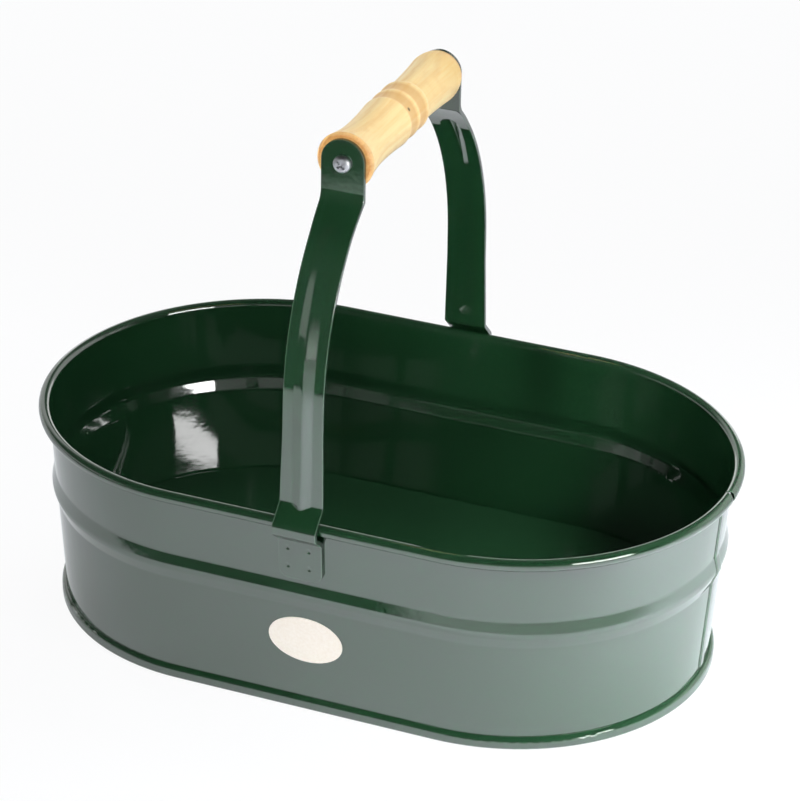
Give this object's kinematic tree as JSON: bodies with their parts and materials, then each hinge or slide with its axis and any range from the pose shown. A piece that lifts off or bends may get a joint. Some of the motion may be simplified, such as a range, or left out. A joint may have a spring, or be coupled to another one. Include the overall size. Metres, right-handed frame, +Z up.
{
  "type": "harvest basket",
  "caption": "Oval painted sheet steel harvest basket with a rolled rim, a swaged bead, a folded base seam and a fixed strap handle with a turned wooden grip.",
  "frame": {"origin": "middle of the base, on the surface that the basket stands on", "axes": "+X along the basket towards the end with the side seam, +Y across it away from the label, +Z up towards the grip"},
  "size_m": [0.38, 0.245, 0.302],
  "materials": {
    "green_paint": "gloss dark green",
    "grip_wood": "clear satin lacquer",
    "zinc_steel": "bright zinc plate",
    "label_cream": "matt"
  },
  "bodies": {
    "basket": {"wall": "green_paint", "base_panel": "green_paint", "near_strap": "green_paint", "far_strap": "green_paint", "label": "label_cream"},
    "grip": {"grip": "grip_wood", "grip_screws": "zinc_steel"}
  },
  "joints": [
    {"name": "grip_spin", "type": "hinge", "parent": "basket", "child": "grip", "pos_m": [0, 0, 0.287], "axis": [0, 1, 0], "continuous": true}
  ]
}
